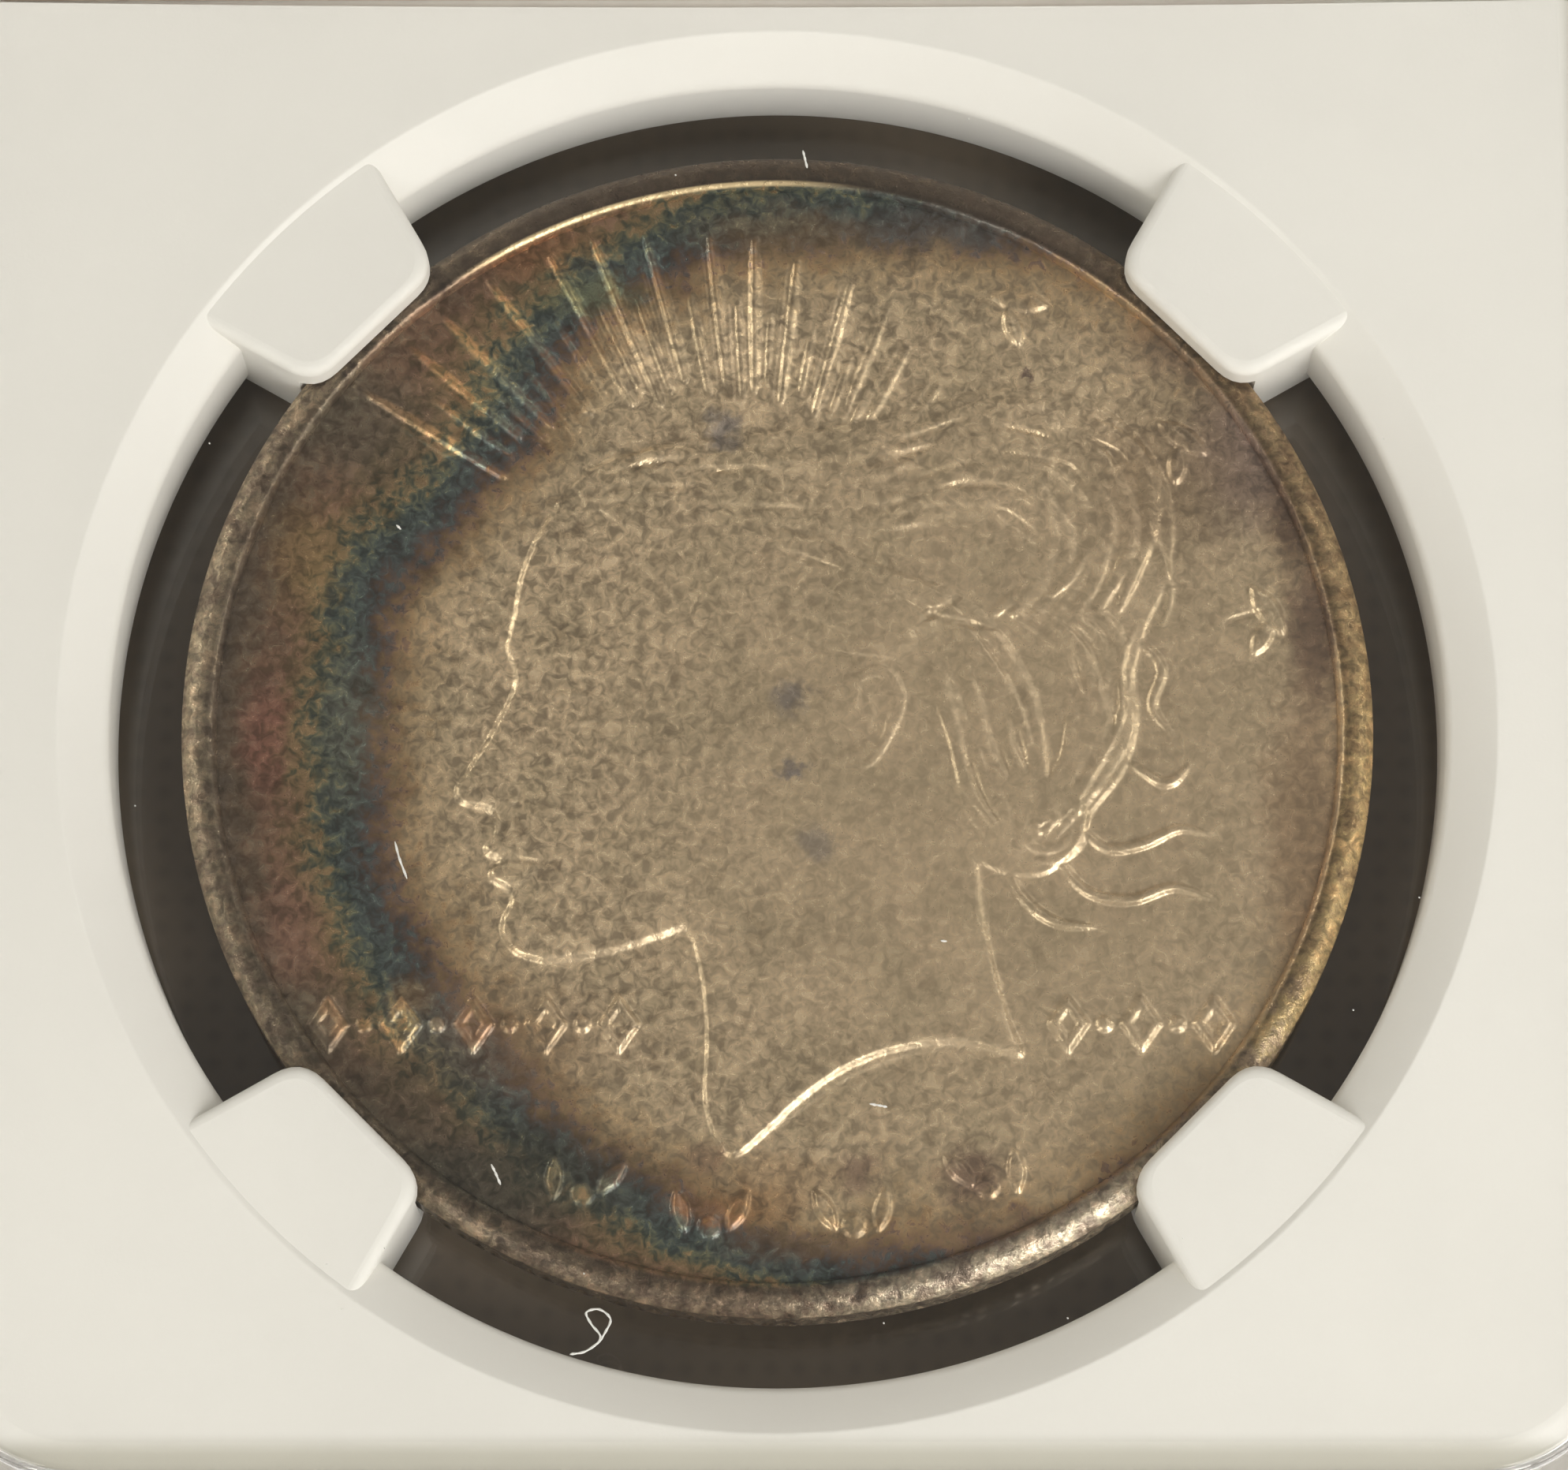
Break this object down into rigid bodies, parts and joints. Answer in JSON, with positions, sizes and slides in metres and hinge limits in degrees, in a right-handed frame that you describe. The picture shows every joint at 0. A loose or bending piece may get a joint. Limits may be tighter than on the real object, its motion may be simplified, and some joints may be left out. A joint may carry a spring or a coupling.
{
  "type": "graded coin slab",
  "caption": "Sealed clear rectangular case holding a large toned silver coin by its edge in a white core with four prongs, with a label above it.",
  "frame": {"origin": "middle of the back face that the slab lies on", "axes": "+Z out of the front window, +Y towards the label end, +X to the reader's right when the front is read"},
  "size_m": [0.059, 0.084, 0.008],
  "materials": {
    "clear_plastic": "polished clear polystyrene with fine handling scratches",
    "white_core": "soft satin, moulded",
    "toned_silver": "struck silver with a toned crescent and fine bag marks",
    "label_paper": "smooth printed card",
    "foil": "embossed metallised film"
  },
  "bodies": {
    "case": {"front_shell": "clear_plastic", "rear_shell": "clear_plastic", "core_insert": "white_core", "front_label": "label_paper", "rear_label": "label_paper", "security_foil": "foil"},
    "coin": {"coin": "toned_silver"}
  },
  "joints": [
    {"name": "coin_spin", "type": "hinge", "parent": "case", "child": "coin", "pos_m": [0, -0.01345, 0.004], "axis": [0, 0, 1], "continuous": true}
  ]
}
